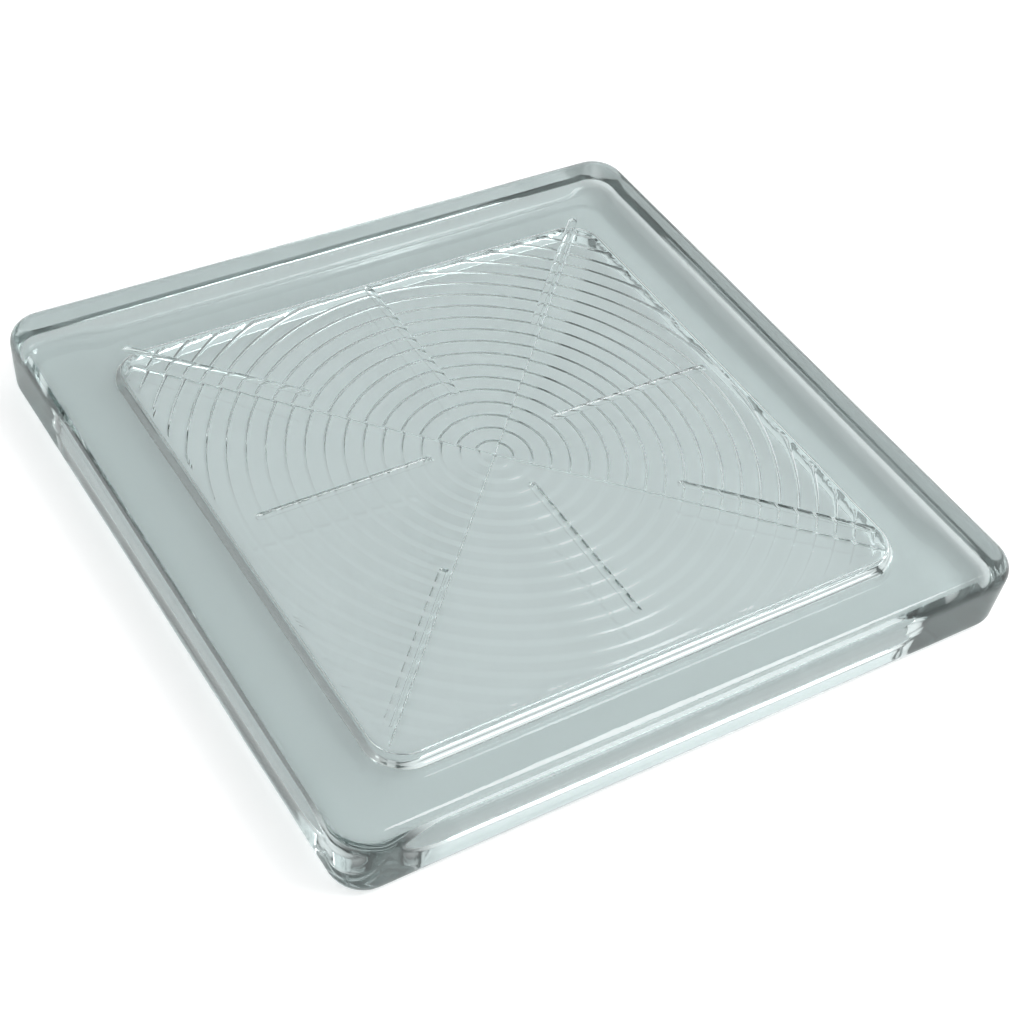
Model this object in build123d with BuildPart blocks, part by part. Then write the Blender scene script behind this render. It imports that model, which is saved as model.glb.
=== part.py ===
"""Pressed glass block for glass-concrete floors and roof lights.

One piece of clear soda-lime glass, pressed between a mould and a core. It lies as
it is laid: the smooth tread face is up, with a shallow dish and a star of eight
narrow flutes in it. The underside is hollow, and the hollow's roof carries
concentric prism rings that spread the light. Only the foot round the hollow rests
on the ground.

Millimetres, +Z up, origin at the middle of the resting plane.
"""

import os
from math import cos, radians, sqrt, tan

from build123d import *

# Outline
side = 200.0                # length and width at the tread face
height = 22.0               # overall thickness
side_draft = 5.5            # degrees, the sides draw in towards the foot
corner_radius = 10.0        # upright corners
tread_edge_radius = 5.0     # rounding round the tread face
foot_edge_radius = 4.0      # rounding round the outside of the foot

# Shallow dish in the tread face
dish_depth = 1.0
dish_margin = 22.0          # from the block's sides to the flat bottom of the dish
dish_slope_width = 9.0      # plan width of its sloping rim
dish_corner_radius = 5.0

# Hollow in the underside
roof_thickness = 11.2       # plain glass between the dish and the hollow's roof
rim_width = 22.0            # glass round the hollow, from the tread face's sides to the hollow's roof
hollow_corner_radius = 5.0
hollow_draft = 6.0          # degrees, the hollow opens downwards
hollow_roof_fillet = 1.2
hollow_mouth_radius = 3.0   # rounding where the hollow meets the foot

# Prism rings pressed up into the hollow's roof
ring_pitch = 5.15
ring_height = 0.6
ring_riser = 0.9            # plan width of a ring's steep flank
plate_backing = 2.0         # how far the ring plate is let into the pressing core
ring_margin = 2.0           # plain border between the rings and the hollow's wall

# Star of flutes pressed into the dish
flute_width = 2.6
flute_depth = 0.5
flute_run_out = 25.0        # degrees, how a flute shallows out at its ends
long_flute_start = 51.5     # the four towards the corners, from the middle
long_flute_gap = 4.3        # left between their ends and the dish's sharp corners
short_flute_start = 20.0    # the four towards the sides, from the middle
short_flute_gap = 9.5       # left between their ends and the dish's sides

# Worked out from the values above
lean = radians(side_draft)
sharp_side = side + 2 * tread_edge_radius * (tan(lean) + 1 / cos(lean) - 1)
dish_side = side - 2 * dish_margin
hollow_side = side - 2 * rim_width
hollow_depth = height - dish_depth - roof_thickness
dish_floor = height - dish_depth
ring_field_side = hollow_side - 2 * ring_margin
ring_count = int(ring_field_side / sqrt(2) / ring_pitch) + 1
flute_radius = (flute_width**2 / 4 + flute_depth**2) / (2 * flute_depth)
flute_tip = flute_radius / tan(radians(flute_run_out))
long_flute_end = dish_side / sqrt(2) - long_flute_gap
short_flute_end = dish_side / 2 - short_flute_gap


# The core that presses the hollow and its rings
with BuildPart() as ring_plate:
    with BuildSketch(Plane.XZ) as ring_section:
        with BuildLine():
            teeth = [(0, 0)]
            for number in range(ring_count):
                outer = (number + 1) * ring_pitch
                teeth.append((outer - ring_riser, ring_height))
                teeth.append((outer, 0))
            Polyline((0, -plate_backing), *teeth, (ring_count * ring_pitch, -plate_backing), close=True)
        make_face()
    revolve(axis=Axis.Z)
    with BuildSketch(Plane.XY.offset(-plate_backing)):
        Rectangle(ring_field_side, ring_field_side)
    extrude(amount=plate_backing + ring_height, mode=Mode.INTERSECT)

with BuildPart() as core:
    with BuildSketch(Plane.XY.offset(hollow_depth)):
        RectangleRounded(hollow_side, hollow_side, hollow_corner_radius)
    extrude(amount=-hollow_depth, taper=-hollow_draft)
    fillet(core.faces().sort_by(Axis.Z)[-1].edges(), hollow_roof_fillet)
    with Locations((0, 0, hollow_depth)):
        add(ring_plate.part)


# One flute, lying along X at the dish floor: a round bar with conical tips, sunk by the flute's depth
def flute_cutter(start, end):
    bar_axis = Axis((0, 0, dish_floor + flute_radius - flute_depth), (1, 0, 0))
    with BuildPart() as cutter:
        with BuildSketch(Plane(origin=bar_axis.position, x_dir=(1, 0, 0), z_dir=(0, -1, 0))):
            with BuildLine():
                Polyline(
                    (start - flute_tip, 0),
                    (start, flute_radius),
                    (end, flute_radius),
                    (end + flute_tip, 0),
                    close=True,
                )
            make_face()
        revolve(axis=bar_axis)
    return cutter.part


with BuildPart() as glass_block:
    with BuildSketch(Plane.XY.offset(height)):
        RectangleRounded(sharp_side, sharp_side, corner_radius)
    extrude(amount=-height, taper=side_draft)
    fillet(glass_block.faces().sort_by(Axis.Z)[-1].edges(), tread_edge_radius)
    fillet(glass_block.faces().sort_by(Axis.Z)[0].edges(), foot_edge_radius)

    # Dish in the tread face
    dish_rim_side = dish_side + 2 * dish_slope_width
    with BuildSketch(Plane.XY.offset(height)):
        RectangleRounded(dish_rim_side, dish_rim_side, dish_corner_radius + dish_slope_width)
    with BuildSketch(Plane.XY.offset(dish_floor)):
        RectangleRounded(dish_side, dish_side, dish_corner_radius)
    loft(mode=Mode.SUBTRACT)

    # Star
    with PolarLocations(0, 4, start_angle=0):
        add(flute_cutter(short_flute_start, short_flute_end), mode=Mode.SUBTRACT)
    with PolarLocations(0, 4, start_angle=45):
        add(flute_cutter(long_flute_start, long_flute_end), mode=Mode.SUBTRACT)

    # Hollow
    add(core.part, mode=Mode.SUBTRACT)
    mouth = glass_block.faces().filter_by(Plane.XY).sort_by(Axis.Z)[0].inner_wires()
    fillet(mouth.edges(), hollow_mouth_radius)

glass_block.part.label = "glass_block"

os.makedirs("parts", exist_ok=True)
export_step(glass_block.part, "parts/glass_block.step")
print("volume cm3", round(glass_block.part.volume / 1000, 1))
print("rings", ring_count, "size", glass_block.part.bounding_box().size)
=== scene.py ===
"""Pressed glass block for glass-concrete floors and roof lights: how it looks.

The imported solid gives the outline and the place. Clear glass shows every surface at
once, so the block is modelled here as one closed skin that is divided finely where the
press left relief: the prism rings in the roof of the hollow, and the star of flutes in
the dish. Geometry nodes press that relief into the skin by rule. Some sizes differ a
little from the solid's, where the photograph asks for it, and stay inside its box.

Metres, +Z up, the origin at the middle of the resting plane.
"""

import math

import bmesh
import bpy
from mathutils import Euler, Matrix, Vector
from mathutils.geometry import delaunay_2d_cdt


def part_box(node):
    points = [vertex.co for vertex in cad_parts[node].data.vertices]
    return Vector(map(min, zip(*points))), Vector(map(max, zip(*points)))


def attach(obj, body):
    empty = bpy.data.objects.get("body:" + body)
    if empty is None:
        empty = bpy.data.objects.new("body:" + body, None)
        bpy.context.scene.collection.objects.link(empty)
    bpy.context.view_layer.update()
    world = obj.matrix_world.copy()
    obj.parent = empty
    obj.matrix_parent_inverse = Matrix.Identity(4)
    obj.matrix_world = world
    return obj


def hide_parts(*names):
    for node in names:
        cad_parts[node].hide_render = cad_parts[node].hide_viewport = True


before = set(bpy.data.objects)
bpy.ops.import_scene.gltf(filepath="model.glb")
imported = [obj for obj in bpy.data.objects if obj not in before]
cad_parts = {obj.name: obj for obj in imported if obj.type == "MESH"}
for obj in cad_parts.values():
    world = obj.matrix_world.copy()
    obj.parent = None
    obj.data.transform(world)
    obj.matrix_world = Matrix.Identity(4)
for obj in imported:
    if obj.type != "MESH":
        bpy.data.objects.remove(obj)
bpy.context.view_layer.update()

mm = 0.001

# Outline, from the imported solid
block_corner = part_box("glass_block")[1]
half_side = block_corner.x
height = block_corner.z

# Outline, as the solid is drawn but for its draft of 5.5 degrees: past 5, the far
# walls mirror the rings and no longer the floor, and the far rims go dark
side_draft = math.radians(4.0)
corner_radius = 10.0 * mm
tread_edge_radius = 5.0 * mm
foot_edge_radius = 4.0 * mm

# Dish in the tread face
dish_depth = 1.0 * mm
dish_half = 78.0 * mm
dish_slope_width = 9.0 * mm
dish_corner_radius = 9.0 * mm
dish_rim_corner_radius = 13.0 * mm

# Hollow in the underside
roof_thickness = 11.2 * mm
hollow_half = 78.0 * mm
hollow_corner_radius = 10.0 * mm
hollow_draft = math.radians(6.0)
hollow_roof_fillet = 1.2 * mm
hollow_mouth_radius = 3.0 * mm

# Prism rings in the hollow's roof, pressed by four inserts that meet along the diagonals
ring_pitch = 5.15 * mm
ring_height = 0.6 * mm
ring_riser = 0.62 * mm            # plan width of a ring's steep outer flank
ring_border = 1.0 * mm            # plain strip between the rings and the roof's fillet
ring_fade = 0.5 * mm              # the rings run out over this width beside the strip
ring_centre = (-0.8 * mm, 0.6 * mm)
insert_shift = 1.0 * mm           # the inserts' rings are up to half of this off their place
insert_seed = 4                   # picks how far each insert is off
insert_joint_width = 0.4 * mm     # glass that was pressed in between the inserts
insert_joint_height = 0.3 * mm    # how far it stands out of the roof
worn_insert = 3                   # counted from +X towards +Y, so this one is on the -Y side
insert_wear = 0.25                # share of its rings' height that the worn insert has lost

# Star of flutes in the dish: where they start and end, from the star's centre
flute_width = 2.6 * mm
flute_depth = 0.65 * mm
short_flute = (20.0 * mm, 68.5 * mm)
long_flute = (51.5 * mm, 102.0 * mm)
star_centre = (-1.7 * mm, 1.4 * mm)

# Unevenness left by the press
wave_height = 0.12 * mm
wave_length = 20.0 * mm
wave_fade = 2.0 * mm              # the waves grow from nothing at the foot over this height

# Glass
glass_tint = "#F8FFFF"
glass_index = 1.52
depth_tint = "#BEC8C7"            # what a long way in the glass takes the light towards
depth_density = 17.0              # how soon it does, per metre
wall_roughness = 0.06             # the sides are less bright than the polished faces

# Worked out from the values above
tread_half = half_side - tread_edge_radius
tread_corner = corner_radius - tread_edge_radius
roof = height - dish_depth - roof_thickness
fillet_reach = hollow_roof_fillet * math.tan((math.pi / 2 - hollow_draft) / 2)
roof_half = hollow_half - fillet_reach
roof_corner = hollow_corner_radius - fillet_reach
flute_tool_radius = (flute_width ** 2 / 4 + flute_depth ** 2) / (2 * flute_depth)

# How finely the skin is divided
side_stations = 96                # points along one side of an outline
dish_slope_steps = 10
tread_edge_steps = 8
side_steps = 8
small_bend_steps = 6
hollow_wall_shares = (0.05, 0.5, 0.95)  # lines up the hollow's wall, the end ones beside its bends
hold = 0.3 * mm                   # a line this far from a bend keeps the flat beside it flat
panel_margin = 0.5 * mm           # no free point of a panel lies closer to its outline
point_merge = 1e-9                # points closer than this are one
sharp_bend = math.radians(38)     # the shading is only split where the skin bends more

# Points in the roof: circles, close enough to follow a ring's riser
ring_steps = 9                    # circles to one ring
ring_spokes = 320                 # points round a circle
middle_rings = 3                  # this many rings in the middle do with a quarter of the points
joint_start = 3                   # the first circle that the close lines along a joint cross
joint_lines = (0, 0.2, 0.4, 0.55)  # places beside a joint, as shares of its width

# Points in the dish: a grid, and lines that close up where a flute's edge cuts the dish
dish_step = 4.0 * mm
flute_step = 1.0 * mm
flute_lines = (0.15, 0.3, 0.42, 0.5, 0.56, 0.8)  # places beside a flute, as shares of its width

# Floor
floor_colour = "#EDEEEE"
floor_reach = 4.0
floor_gap = 0.15 * mm             # keeps the floor and the foot from being one surface
floor_glow = 0.35                 # lifts the paper to white for the camera
floor_glow_in_glass = 0.08        # and a little where glass shows it

# Light: a dome that is brightest on one side, and a lamp on that side
bright_side = (0.6, -0.4, 0.69)
dome_facing = (-0.6, 1.0)         # from the dim side to the bright one
dome_strength = (0.1, 1.36)
lamp_place = (0.80, -0.65, 1.5)
lamp_size = 0.6
lamp_power = 9.5
glass_bounces = 24                # light is caught between the faces many times
mirror_bounces = 16

# Camera, as the photograph was taken
camera_place = (-240.4 * mm, -319.5 * mm, 385.3 * mm)
camera_turn = (45.355, -6.222, -31.681)
camera_lens = 71.666
camera_sensor = 36.0
camera_near = 0.01

white = (1.0, 1.0, 1.0, 1.0)


def linear(code):
    """A hex sRGB colour as a linear one."""
    parts = [int(code[i:i + 2], 16) / 255 for i in (1, 3, 5)]
    return [c / 12.92 if c <= 0.04045 else ((c + 0.055) / 1.055) ** 2.4 for c in parts] + [1.0]


def add(tree, kind, *feeds, named=None, **settings):
    """Adds a node with its settings, and feeds its inputs in order, or by name.

    A node or a socket is linked, a value is set, and None leaves an input as it is.
    """
    made = tree.nodes.new(kind)
    for key, value in settings.items():
        setattr(made, key, value)
    for key, feed in list(enumerate(feeds)) + list((named or {}).items()):
        if isinstance(feed, bpy.types.Node):
            feed = feed.outputs[0]
        if isinstance(feed, bpy.types.NodeSocket):
            tree.links.new(feed, made.inputs[key])
        elif feed is not None:
            made.inputs[key].default_value = feed
    return made


class Skin:
    """The block's surface: outlines joined by strips, and two finely divided panels."""

    def __init__(self):
        self.points = []
        self.faces = []
        self.marks = {"dish": [], "roof": [], "wall": []}

    def outline(self, half, radius, level):
        """A rounded square of evenly numbered points, all outlines starting at the same place."""
        first = len(self.points)
        for quarter in range(4):
            turn = quarter * math.pi / 2
            for i in range(side_stations):
                share = 2 * i / side_stations - 1
                x, y = half, half * share

                # Past the straight part, the points go round half of a corner
                past = abs(y) - (half - radius)
                if past > 0:
                    swing = past / radius * math.pi / 4
                    x = half - radius + radius * math.cos(swing)
                    y = math.copysign(half - radius + radius * math.sin(swing), share)
                turned_x = x * math.cos(turn) - y * math.sin(turn)
                turned_y = x * math.sin(turn) + y * math.cos(turn)
                self.points.append((turned_x, turned_y, level))
        return list(range(first, len(self.points)))

    def strips(self, outlines):
        """Faces from each outline to the next, pointing up where the next one is wider."""
        for inner, outer in zip(outlines, outlines[1:]):
            for i in range(len(inner)):
                j = (i + 1) % len(inner)
                self.faces.append((inner[i], outer[i], outer[j], inner[j]))

    def panel(self, mark, rim, fill, level, faces_up):
        """Fills an outline with triangles through the given points, and marks those points."""
        corners = [Vector(self.points[i][:2]) for i in rim]
        count = len(corners)
        border = [(i, (i + 1) % count) for i in range(count)]
        points = corners + [Vector(p) for p in fill]
        only_inside = 1
        flat, _, triangles, sources, _, _ = delaunay_2d_cdt(points, border, [], only_inside, point_merge)
        index = {}
        for i, point in enumerate(flat):
            on_rim = [s for s in sources[i] if s < count]
            if on_rim:
                index[i] = rim[on_rim[0]]
            else:
                index[i] = len(self.points)
                self.points.append((point.x, point.y, level))
        self.marks[mark] = sorted(set(index.values()) - set(rim))
        for triangle in triangles:
            a, b, c = (flat[i] for i in triangle)
            turns_up = (b - a).cross(c - a) > 0
            order = triangle if turns_up == faces_up else triangle[::-1]
            self.faces.append(tuple(index[i] for i in order))

    def mesh(self, name):
        """The skin as a mesh, with an attribute for each kind of marked point."""
        mesh = bpy.data.meshes.new(name)
        mesh.from_pydata(self.points, [], self.faces)
        for mark, members in self.marks.items():
            flag = mesh.attributes.new(mark, "FLOAT", "POINT")
            for i in members:
                flag.data[i].value = 1.0
        return mesh


def bend(steps, start, end):
    """Angles along a rounding, given in degrees and returned in radians."""
    return [math.radians(start + (end - start) * i / steps) for i in range(steps + 1)]


def inside(x, y, half, radius):
    """True if a point lies within a rounded square, clear of its edge."""
    x, y = abs(x), abs(y)
    if max(x, y) > half - panel_margin:
        return False
    if min(x, y) > half - radius:
        return math.hypot(x - half + radius, y - half + radius) < radius - panel_margin
    return True


def beside_line(centre, turn, along, across):
    """Points on a line from a centre and on both sides of it."""
    found = []
    for u in along:
        for v in across:
            for side in (1, -1) if v else (1,):
                x = centre[0] + u * math.cos(turn) - side * v * math.sin(turn)
                y = centre[1] + u * math.sin(turn) + side * v * math.cos(turn)
                found.append((x, y))
    return found


def ring_points():
    """Points for the hollow's roof: circles round the rings' centre, and lines along the joints."""
    found = [ring_centre]
    step = ring_pitch / ring_steps
    circles = int(roof_half * 1.5 / step)    # the outermost reach past the roof's corners
    for number in range(1, circles):
        reach = number * step
        spokes = ring_spokes if reach > middle_rings * ring_pitch else ring_spokes // 4
        for k in range(spokes):
            angle = 2 * math.pi * k / spokes
            x = ring_centre[0] + reach * math.cos(angle)
            y = ring_centre[1] + reach * math.sin(angle)
            found.append((x, y))
    along = [number * step for number in range(joint_start, circles)]
    across = [insert_joint_width * share for share in joint_lines]
    for arm in range(4):
        found += beside_line(ring_centre, (arm + 0.5) * math.pi / 2, along, across)
    return [p for p in found if inside(*p, roof_half, roof_corner)]


def star_points():
    """Points for the dish: a plain grid, with close lines along each flute and round its ends."""
    count = int(dish_half / dish_step)
    grid = [i * dish_step for i in range(-count, count + 1)]
    found = [(x, y) for x in grid for y in grid]
    beside = [flute_width * share for share in flute_lines]
    for arm in range(8):
        start, end = long_flute if arm % 2 else short_flute
        along = [start + i * flute_step for i in range(int((end - start) / flute_step) + 1)]
        along += [start - e for e in beside] + [end + e for e in beside]
        found += beside_line(star_centre, arm * math.pi / 4, along, [0] + beside)
    return [p for p in found if inside(*p, dish_half, dish_corner_radius)]


def tread_outlines(skin):
    """From the flat of the dish up its slope and out over the rim."""
    made = []
    for i in range(dish_slope_steps + 1):
        share = i / dish_slope_steps
        ease = 0.5 - 0.5 * math.cos(math.pi * share)
        half = dish_half + dish_slope_width * share
        corner = dish_corner_radius + (dish_rim_corner_radius - dish_corner_radius) * share
        made.append(skin.outline(half, corner, height - dish_depth * (1 - ease)))
    made.append(skin.outline(dish_half + dish_slope_width + hold, dish_rim_corner_radius, height))
    made.append(skin.outline(tread_half - hold, tread_corner, height))
    return made


def side_outlines(skin):
    """Round the tread edge, down the side, which draws in by its draft, and round the foot."""
    made = []
    draft = math.degrees(side_draft)
    for angle in bend(tread_edge_steps, 90, -draft):
        grow = tread_edge_radius * math.cos(angle)
        level = height - tread_edge_radius * (1 - math.sin(angle))
        made.append(skin.outline(tread_half + grow, tread_corner + grow, level))
    wall_high = height - tread_edge_radius * (1 + math.sin(side_draft))
    wall_low = foot_edge_radius * (1 - math.sin(side_draft))
    wall_start = tread_edge_radius * math.cos(side_draft)
    fall = math.tan(side_draft)
    for i in range(1, side_steps):
        level = wall_high + (wall_low - wall_high) * i / side_steps
        grow = wall_start - fall * (wall_high - level)
        made.append(skin.outline(tread_half + grow, tread_corner + grow, level))
        skin.marks["wall"] += made[-1]
    foot_grow = wall_start - fall * (wall_high - wall_low) - foot_edge_radius * math.cos(side_draft)
    for angle in bend(small_bend_steps, draft, 90):
        grow = foot_grow + foot_edge_radius * math.cos(angle)
        level = foot_edge_radius * (1 - math.sin(angle))
        made.append(skin.outline(tread_half + grow, tread_corner + grow, level))
    made.append(skin.outline(tread_half + foot_grow - hold, tread_corner + foot_grow - hold, 0))
    return made


def hollow_outlines(skin):
    """From the foot round the mouth, up the leaning wall and round into the roof."""
    lean = math.tan(hollow_draft)
    mouth_reach = hollow_mouth_radius * math.tan((math.pi / 2 - hollow_draft) / 2)
    foot_inner = hollow_half + lean * roof + mouth_reach
    corner = hollow_corner_radius + lean * roof + mouth_reach
    made = [skin.outline(foot_inner + hold, corner + hold, 0)]
    wall_angle = 90 - math.degrees(hollow_draft)
    for angle in bend(small_bend_steps, 0, wall_angle):
        shrink = hollow_mouth_radius * math.sin(angle)
        level = hollow_mouth_radius * (1 - math.cos(angle))
        made.append(skin.outline(foot_inner - shrink, corner - shrink, level))
    wall_low = hollow_mouth_radius * (1 - math.sin(hollow_draft))
    wall_high = roof - hollow_roof_fillet * (1 - math.sin(hollow_draft))
    for share in hollow_wall_shares:
        level = wall_low + (wall_high - wall_low) * share
        grow = lean * (roof - level)
        made.append(skin.outline(hollow_half + grow, hollow_corner_radius + grow, level))
    for angle in bend(small_bend_steps, wall_angle, 0):
        grow = hollow_roof_fillet * math.sin(angle)
        level = roof - hollow_roof_fillet * (1 - math.cos(angle))
        made.append(skin.outline(roof_half + grow, roof_corner + grow, level))
    return made


def block_skin():
    """The closed skin of the block, from the dish outwards, down the side and up into the hollow."""
    skin = Skin()
    outlines = tread_outlines(skin) + side_outlines(skin) + hollow_outlines(skin)
    skin.strips(outlines)
    skin.panel("dish", outlines[0], star_points(), height - dish_depth, True)
    skin.panel("roof", outlines[-1], ring_points(), roof, False)
    return skin


def from_centre(tree, place, centre):
    """A place in plan as seen from a centre, then how far off it is, and in which direction."""
    offset = add(tree, "ShaderNodeVectorMath", place, centre, operation="SUBTRACT")
    offset = add(tree, "ShaderNodeVectorMath", offset, (1.0, 1.0, 0.0), operation="MULTIPLY")
    reach = add(tree, "ShaderNodeVectorMath", offset, operation="LENGTH").outputs["Value"]
    x, y = add(tree, "ShaderNodeSeparateXYZ", offset).outputs[:2]
    angle = add(tree, "ShaderNodeMath", y, x, operation="ARCTAN2")
    return offset, reach, angle


def ring_relief(tree, place, given):
    """How far the rings stand up into the roof, with the joints between the inserts."""
    offset, reach, angle = from_centre(tree, place, given["Ring Centre"])

    # The insert that pressed this place, counted round from +X
    insert = add(tree, "ShaderNodeMath", angle, math.pi / 4, operation="ADD")
    insert = add(tree, "ShaderNodeMath", insert, math.pi / 2, operation="DIVIDE")
    insert = add(tree, "ShaderNodeMath", insert, operation="FLOOR")
    insert = add(tree, "ShaderNodeMath", insert, 4.0, operation="FLOORED_MODULO")

    # Its rings are a little off their place
    shift = add(tree, "FunctionNodeRandomValue", named={"ID": insert, "Seed": given["Seed"]},
                data_type="FLOAT").outputs[1]
    shift = add(tree, "ShaderNodeMath", shift, 0.5, operation="SUBTRACT")
    shift = add(tree, "ShaderNodeMath", shift, given["Insert Shift"], operation="MULTIPLY")
    turns = add(tree, "ShaderNodeMath", reach, shift, operation="ADD")
    turns = add(tree, "ShaderNodeMath", turns, given["Ring Pitch"], operation="DIVIDE")
    share = add(tree, "ShaderNodeMath", turns, operation="FRACT")

    # A ring rises slowly and falls off down its riser
    riser_share = add(tree, "ShaderNodeMath", given["Ring Riser"], given["Ring Pitch"], operation="DIVIDE")
    riser_start = add(tree, "ShaderNodeMath", 1.0, riser_share, operation="SUBTRACT")
    rise = add(tree, "ShaderNodeMapRange", share, 0.0, riser_start, 0.0, given["Ring Height"])
    fall = add(tree, "ShaderNodeMapRange", share, riser_start, 1.0, 1.0, 0.0,
               interpolation_type="SMOOTHSTEP")
    ring = add(tree, "ShaderNodeMath", rise, fall, operation="MULTIPLY")
    worn = add(tree, "ShaderNodeMath", insert, given["Worn Insert"], 0.5, operation="COMPARE")
    worn = add(tree, "ShaderNodeMath", worn, given["Insert Wear"], operation="MULTIPLY")
    left = add(tree, "ShaderNodeMath", 1.0, worn, operation="SUBTRACT")
    ring = add(tree, "ShaderNodeMath", ring, left, operation="MULTIPLY")

    # The joints lie where x and y are equally large: their difference is root two times the distance
    offset = add(tree, "ShaderNodeVectorMath", offset, operation="ABSOLUTE")
    x_size, y_size = add(tree, "ShaderNodeSeparateXYZ", offset).outputs[:2]
    off_joint = add(tree, "ShaderNodeMath", x_size, y_size, operation="SUBTRACT")
    off_joint = add(tree, "ShaderNodeMath", off_joint, operation="ABSOLUTE")
    joint_edge = add(tree, "ShaderNodeMath", given["Joint Width"], math.sqrt(0.5), operation="MULTIPLY")
    joint = add(tree, "ShaderNodeMapRange", off_joint, 0.0, joint_edge, given["Joint Height"], 0.0,
                interpolation_type="SMOOTHSTEP")
    ring = add(tree, "ShaderNodeMath", ring, joint, operation="SUBTRACT")

    # Nothing is pressed in the plain strip beside the wall
    place_size = add(tree, "ShaderNodeVectorMath", place, operation="ABSOLUTE")
    place_x, place_y = add(tree, "ShaderNodeSeparateXYZ", place_size).outputs[:2]
    from_middle = add(tree, "ShaderNodeMath", place_x, place_y, operation="MAXIMUM")
    fade_start = add(tree, "ShaderNodeMath", given["Ring Edge"], given["Ring Fade"], operation="SUBTRACT")
    kept = add(tree, "ShaderNodeMapRange", from_middle, fade_start, given["Ring Edge"], 1.0, 0.0)
    return add(tree, "ShaderNodeMath", ring, kept, operation="MULTIPLY")


def star_relief(tree, place, given):
    """How deep the flutes are sunk into the dish, by a round tool."""
    _, reach, angle = from_centre(tree, place, given["Star Centre"])

    # The nearest flute, and where the place is along and beside it
    arm = add(tree, "ShaderNodeMath", angle, math.pi / 4, operation="DIVIDE")
    arm = add(tree, "ShaderNodeMath", arm, operation="ROUND")
    arm_angle = add(tree, "ShaderNodeMath", arm, math.pi / 4, operation="MULTIPLY")
    off_arm = add(tree, "ShaderNodeMath", angle, arm_angle, operation="SUBTRACT")
    cosine = add(tree, "ShaderNodeMath", off_arm, operation="COSINE")
    sine = add(tree, "ShaderNodeMath", off_arm, operation="SINE")
    along = add(tree, "ShaderNodeMath", reach, cosine, operation="MULTIPLY")
    across = add(tree, "ShaderNodeMath", reach, sine, operation="MULTIPLY")

    # Every other flute is a long one
    is_long = add(tree, "ShaderNodeMath", arm, 2.0, operation="FLOORED_MODULO")
    start = add(tree, "ShaderNodeMapRange", is_long, 0.0, 1.0, given["Short Start"], given["Long Start"])
    end = add(tree, "ShaderNodeMapRange", is_long, 0.0, 1.0, given["Short End"], given["Long End"])

    # How far the place is from the flute's middle line, also past its ends
    before = add(tree, "ShaderNodeMath", start, along, operation="SUBTRACT")
    behind = add(tree, "ShaderNodeMath", along, end, operation="SUBTRACT")
    past = add(tree, "ShaderNodeMath", before, behind, operation="MAXIMUM")
    past = add(tree, "ShaderNodeMath", past, 0.0, operation="MAXIMUM")
    past = add(tree, "ShaderNodeMath", past, 2.0, operation="POWER")
    across = add(tree, "ShaderNodeMath", across, 2.0, operation="POWER")
    off_squared = add(tree, "ShaderNodeMath", past, across, operation="ADD")

    # The tool's round section, of which only the tip enters the dish
    radius_squared = add(tree, "ShaderNodeMath", given["Tool Radius"], 2.0, operation="POWER")
    sunk = add(tree, "ShaderNodeMath", radius_squared, off_squared, operation="SUBTRACT")
    sunk = add(tree, "ShaderNodeMath", sunk, 0.0, operation="MAXIMUM")
    sunk = add(tree, "ShaderNodeMath", sunk, operation="SQRT")
    tool_centre = add(tree, "ShaderNodeMath", given["Tool Radius"], given["Flute Depth"],
                      operation="SUBTRACT")
    sunk = add(tree, "ShaderNodeMath", sunk, tool_centre, operation="SUBTRACT")
    return add(tree, "ShaderNodeMath", sunk, 0.0, operation="MAXIMUM")


def press_waves(tree, place, given):
    """How the skin waves: a little, always inwards, and not at the foot, which stays flat."""
    scale = add(tree, "ShaderNodeMath", 1.0, given["Wave Length"], operation="DIVIDE")
    noise = add(tree, "ShaderNodeTexNoise", named={"Vector": place, "Scale": scale, "Detail": 0.0})
    level = add(tree, "ShaderNodeSeparateXYZ", place).outputs["Z"]
    most = add(tree, "ShaderNodeMapRange", level, 0.0, given["Wave Fade"], 0.0, given["Wave Height"])
    wave = add(tree, "ShaderNodeMath", noise, most, operation="MULTIPLY")
    wave = add(tree, "ShaderNodeMath", wave, -1.0, operation="MULTIPLY")
    normal = add(tree, "GeometryNodeInputNormal")
    return add(tree, "ShaderNodeVectorMath", normal, named={"Scale": wave}, operation="SCALE")


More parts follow.
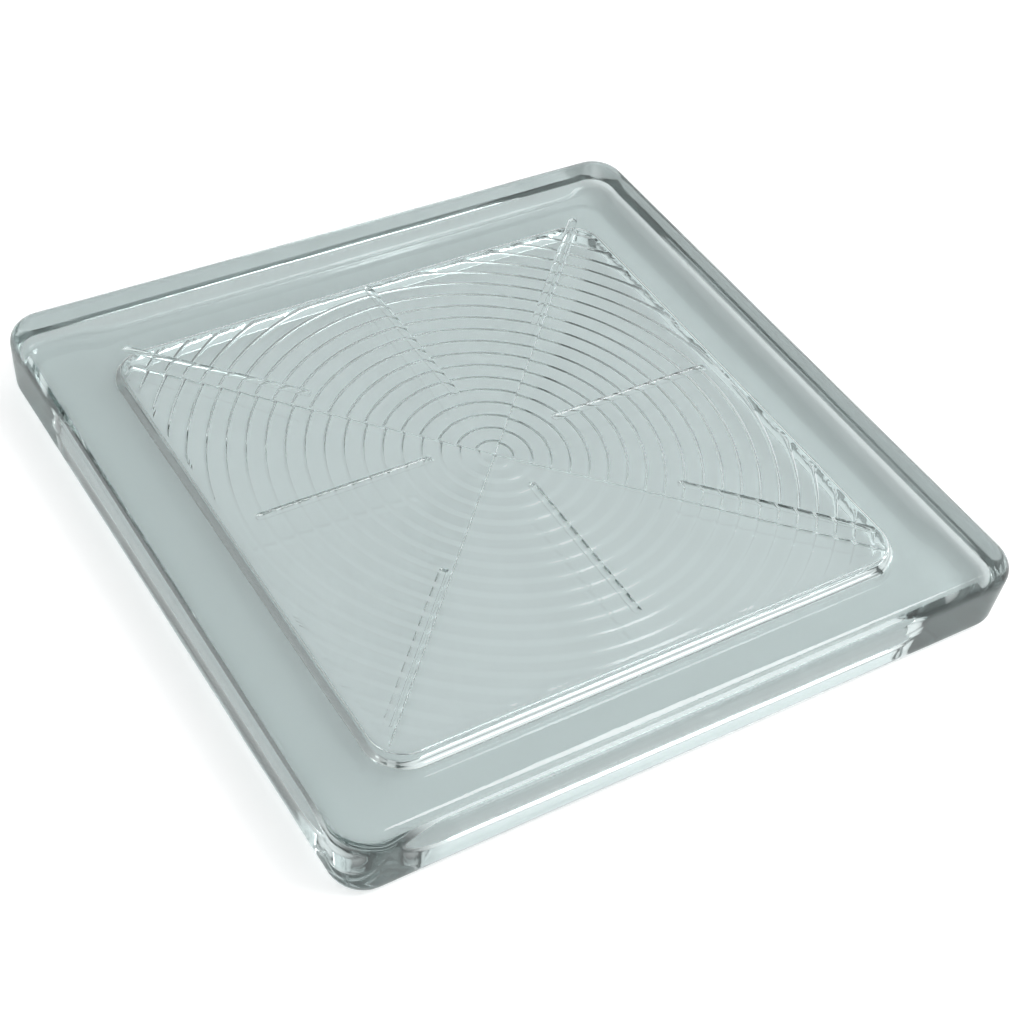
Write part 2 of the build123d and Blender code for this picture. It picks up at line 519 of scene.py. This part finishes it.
def press_tree(sizes):
    """Geometry nodes that press the rings and the star into the skin's two panels."""
    tree = bpy.data.node_groups.new("press relief", "GeometryNodeTree")
    sockets = {"Skin": "NodeSocketGeometry"}
    for name, size in sizes.items():
        sockets[name] = "NodeSocketVector" if isinstance(size, tuple) else "NodeSocketFloat"
    sockets |= {"Seed": "NodeSocketInt", "Glass": "NodeSocketMaterial"}
    for name, kind in sockets.items():
        tree.interface.new_socket(name, in_out="INPUT", socket_type=kind)
    tree.interface.new_socket("Block", in_out="OUTPUT", socket_type="NodeSocketGeometry")
    given = add(tree, "NodeGroupInput").outputs
    place = add(tree, "GeometryNodeInputPosition")

    # Only the marked points of a panel take its relief
    in_roof = add(tree, "GeometryNodeInputNamedAttribute", "roof", data_type="FLOAT")
    in_dish = add(tree, "GeometryNodeInputNamedAttribute", "dish", data_type="FLOAT")
    raised = add(tree, "ShaderNodeMath", ring_relief(tree, place, given), in_roof, operation="MULTIPLY")
    sunk = add(tree, "ShaderNodeMath", star_relief(tree, place, given), in_dish, operation="MULTIPLY")
    lift = add(tree, "ShaderNodeMath", raised, sunk, operation="SUBTRACT")
    lift = add(tree, "ShaderNodeCombineXYZ", 0.0, 0.0, lift)
    lift = add(tree, "ShaderNodeVectorMath", lift, press_waves(tree, place, given), operation="ADD")
    pressed = add(tree, "GeometryNodeSetPosition", given["Skin"], named={"Offset": lift})
    whole = add(tree, "GeometryNodeRealizeInstances", pressed)
    glazed = add(tree, "GeometryNodeSetMaterial", whole, named={"Material": given["Glass"]})
    add(tree, "NodeGroupOutput", glazed)
    return tree


def pressed_glass():
    """Soda-lime glass, pressed in a mould and fire-polished.

    The polished faces are quite smooth, so all that lies behind them shows through. The
    sides cooled against the mould and blur it a little. The iron in the sand is only seen
    where light goes a long way in the glass, as a faint blue-green that darkens the corners.
    """
    material = bpy.data.materials.new("pressed_soda_lime_glass")
    material.use_nodes = True
    tree = material.node_tree
    tree.nodes.clear()
    wall = add(tree, "ShaderNodeAttribute", attribute_name="wall").outputs["Fac"]
    blur = add(tree, "ShaderNodeMath", wall, wall_roughness, operation="MULTIPLY")
    glass = add(tree, "ShaderNodeBsdfPrincipled", named={
        "Base Color": linear(glass_tint),
        "Roughness": blur,
        "IOR": glass_index,
        "Transmission Weight": 1.0,
    })
    depth = add(tree, "ShaderNodeVolumeAbsorption", linear(depth_tint), depth_density)
    add(tree, "ShaderNodeOutputMaterial", glass, depth)
    return material


def make_block():
    """The glass block: its skin, pressed by the nodes and turned into a plain mesh."""
    block = bpy.data.objects.new("pressed_block", block_skin().mesh("glass_block_skin"))
    bpy.context.scene.collection.objects.link(block)
    sizes = {
        "Ring Centre": (*ring_centre, 0.0),
        "Ring Pitch": ring_pitch,
        "Ring Height": ring_height,
        "Ring Riser": ring_riser,
        "Ring Edge": roof_half - ring_border,
        "Ring Fade": ring_fade,
        "Insert Shift": insert_shift,
        "Worn Insert": float(worn_insert),
        "Insert Wear": insert_wear,
        "Joint Width": insert_joint_width,
        "Joint Height": insert_joint_height,
        "Star Centre": (*star_centre, 0.0),
        "Tool Radius": flute_tool_radius,
        "Flute Depth": flute_depth,
        "Short Start": short_flute[0],
        "Short End": short_flute[1],
        "Long Start": long_flute[0],
        "Long End": long_flute[1],
        "Wave Height": wave_height,
        "Wave Length": wave_length,
        "Wave Fade": wave_fade,
    }
    press = block.modifiers.new("press", "NODES")
    press.node_group = press_tree(sizes)
    values = sizes | {"Seed": insert_seed, "Glass": pressed_glass()}
    for item in press.node_group.interface.items_tree:
        if item.name in values:
            press[item.identifier] = values[item.name]
    depsgraph = bpy.context.evaluated_depsgraph_get()
    pressed = bpy.data.meshes.new_from_object(block.evaluated_get(depsgraph))
    block.modifiers.clear()
    block.data = pressed
    for mark in ("roof", "dish"):
        pressed.attributes.remove(pressed.attributes[mark])
    pressed.polygons.foreach_set("use_smooth", [True] * len(pressed.polygons))
    pressed.set_sharp_from_angle(angle=sharp_bend)

    # The skin has to be closed for the glass to have an inside
    check = bmesh.new()
    check.from_mesh(pressed)
    open_edges = sum(not edge.is_manifold for edge in check.edges)
    triangles = sum(len(face.verts) - 2 for face in check.faces)
    print("open edges", open_edges, "volume", check.calc_volume() * 1e6, "triangles", triangles)
    check.free()
    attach(block, "root")
    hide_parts("glass_block")


def make_floor():
    """Matt paper, which scatters light evenly: it stays white to the eye and keeps a soft shadow."""
    mesh = bpy.data.meshes.new("studio_floor")
    corners = [(-1, -1), (1, -1), (1, 1), (-1, 1)]
    mesh.from_pydata([(x * floor_reach, y * floor_reach, 0) for x, y in corners], [], [(0, 1, 2, 3)])
    floor = bpy.data.objects.new("studio_floor", mesh)
    bpy.context.scene.collection.objects.link(floor)
    floor.location.z = -floor_gap
    material = bpy.data.materials.new("matt_paper")
    material.use_nodes = True
    tree = material.node_tree
    tree.nodes.clear()
    paper = add(tree, "ShaderNodeBsdfDiffuse", linear(floor_colour))
    path = add(tree, "ShaderNodeLightPath").outputs
    in_glass = add(tree, "ShaderNodeMath", path["Is Glossy Ray"], path["Is Transmission Ray"],
                   operation="MAXIMUM")
    in_glass = add(tree, "ShaderNodeMath", in_glass, floor_glow_in_glass, operation="MULTIPLY")
    direct = add(tree, "ShaderNodeMath", path["Is Camera Ray"], floor_glow, operation="MULTIPLY")
    strength = add(tree, "ShaderNodeMath", in_glass, direct, operation="MAXIMUM")
    glow = add(tree, "ShaderNodeEmission", white, strength)
    both = add(tree, "ShaderNodeAddShader", paper, glow)
    add(tree, "ShaderNodeOutputMaterial", both)
    mesh.materials.append(material)


def make_light():
    """A bright studio: a pale dome, dimmer on its far side, and one broad soft lamp from the right."""
    world = bpy.data.worlds.new("studio")
    bpy.context.scene.world = world
    world.use_nodes = True
    tree = world.node_tree
    tree.nodes.clear()
    direction = add(tree, "ShaderNodeTexCoord").outputs["Generated"]
    facing = add(tree, "ShaderNodeVectorMath", direction, bright_side, operation="DOT_PRODUCT")
    dome = add(tree, "ShaderNodeMapRange", facing.outputs["Value"], *dome_facing, *dome_strength)
    path = add(tree, "ShaderNodeLightPath").outputs
    shown = add(tree, "ShaderNodeMix", named={0: path["Is Camera Ray"], 2: dome, 3: 1.0}, data_type="FLOAT")
    sky = add(tree, "ShaderNodeBackground", white, shown)
    add(tree, "ShaderNodeOutputWorld", sky)
    lamp = bpy.data.lights.new("softbox", "AREA")
    lamp.shape = "RECTANGLE"
    lamp.size = lamp_size
    lamp.size_y = lamp_size
    lamp.energy = lamp_power
    box = bpy.data.objects.new("softbox", lamp)
    bpy.context.scene.collection.objects.link(box)
    box.location = lamp_place
    box.rotation_euler = (-box.location).to_track_quat("-Z", "Y").to_euler()


def make_camera():
    """The camera, fitted to the block's outline in the photograph."""
    camera = bpy.data.cameras.new("camera")
    camera.sensor_width = camera_sensor
    camera.lens = camera_lens
    camera.clip_start = camera_near
    stand = bpy.data.objects.new("camera", camera)
    bpy.context.scene.collection.objects.link(stand)
    stand.location = camera_place
    stand.rotation_euler = Euler([math.radians(a) for a in camera_turn])
    bpy.context.scene.camera = stand


make_block()
make_floor()
make_light()
make_camera()

scene = bpy.context.scene
scene.view_settings.view_transform = "Standard"
scene.cycles.max_bounces = glass_bounces
scene.cycles.transmission_bounces = glass_bounces
scene.cycles.glossy_bounces = mirror_bounces
